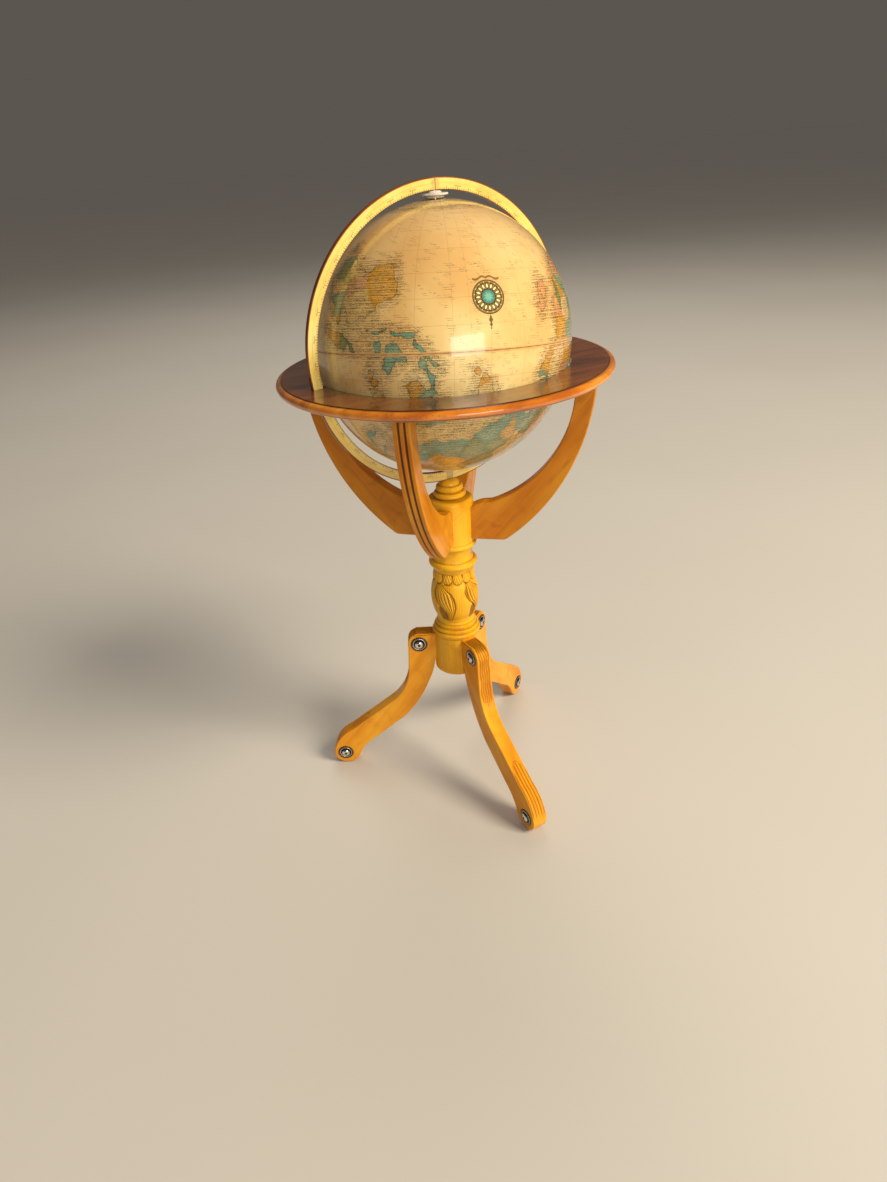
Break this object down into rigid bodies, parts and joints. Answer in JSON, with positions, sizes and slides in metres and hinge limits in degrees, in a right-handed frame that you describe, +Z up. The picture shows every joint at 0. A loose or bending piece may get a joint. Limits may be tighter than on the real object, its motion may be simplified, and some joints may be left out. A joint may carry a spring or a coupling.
{
  "type": "floor globe on wooden stand",
  "caption": "Antique-style terrestrial ball in a full meridian ring, carried by a wooden horizon ring on four curved arms, a carved column and three scrolled legs.",
  "frame": {"origin": "On the floor, straight below the column's axis, which is the centre of the horizon ring and the middle of the bounding box in X and Y.", "axes": "+Z is up along the column and the ball's axis. +X lies in the meridian ring's plane, through one notch of the horizon ring. +Y completes the right-handed frame; the third leg points along -Y."},
  "size_m": [0.4065, 0.4066, 0.8116],
  "materials": {
    "column_wood": "gloss",
    "arm_wood": "gloss",
    "leg_wood": "gloss",
    "horizon_wood": "gloss",
    "dowel_wood": "matte",
    "meridian_board": "gloss",
    "scale_paper": "gloss",
    "map_paper": "gloss",
    "tape_paper": "gloss",
    "bare_board": "matte",
    "bright_steel": "satin",
    "zinc_steel": "satin",
    "rosette_rim_metal": "satin",
    "rosette_dome_metal": "polished",
    "cap_plastic": "gloss",
    "brass_tube": "satin",
    "glide_plastic": "matte"
  },
  "bodies": {
    "stand": {"column_finial": "column_wood", "upper_drum": "column_wood", "carved_baluster": "column_wood", "leg_hub": "column_wood", "column_tie_rod": "zinc_steel", "tie_rod_washers": "zinc_steel", "tie_rod_nuts": "zinc_steel", "drum_dowels": "dowel_wood", "leg_dowels": "dowel_wood", "ring_dowels": "dowel_wood", "horizon_ring": "horizon_wood", "bracket_arm_1": "arm_wood", "bracket_arm_2": "arm_wood", "bracket_arm_3": "arm_wood", "bracket_arm_4": "arm_wood", "leg_1": "leg_wood", "leg_2": "leg_wood", "leg_3": "leg_wood", "foot_glides": "glide_plastic", "rosette_rims": "rosette_rim_metal", "rosette_studs": "rosette_dome_metal"},
    "meridian": {"meridian_half_east": "meridian_board", "meridian_half_west": "meridian_board", "meridian_scale_front": "scale_paper", "meridian_scale_back": "scale_paper", "splice_plates": "bright_steel", "pole_pins": "bright_steel", "pole_caps": "cap_plastic"},
    "ball": {"ball_shell_upper": "map_paper", "ball_shell_lower": "map_paper", "equator_hoop": "bare_board", "equator_tape": "tape_paper", "pole_blocks": "dowel_wood", "pole_bushes": "brass_tube"}
  },
  "joints": [
    {"name": "meridian_slide_round", "type": "hinge", "parent": "stand", "child": "meridian", "pos_m": [0, 0, 0.638], "axis": [0, 1, 0], "range_deg": [-68, 68]},
    {"name": "ball_spin", "type": "hinge", "parent": "meridian", "child": "ball", "pos_m": [0, 0, 0.638], "axis": [0, 0, 1], "continuous": true}
  ]
}
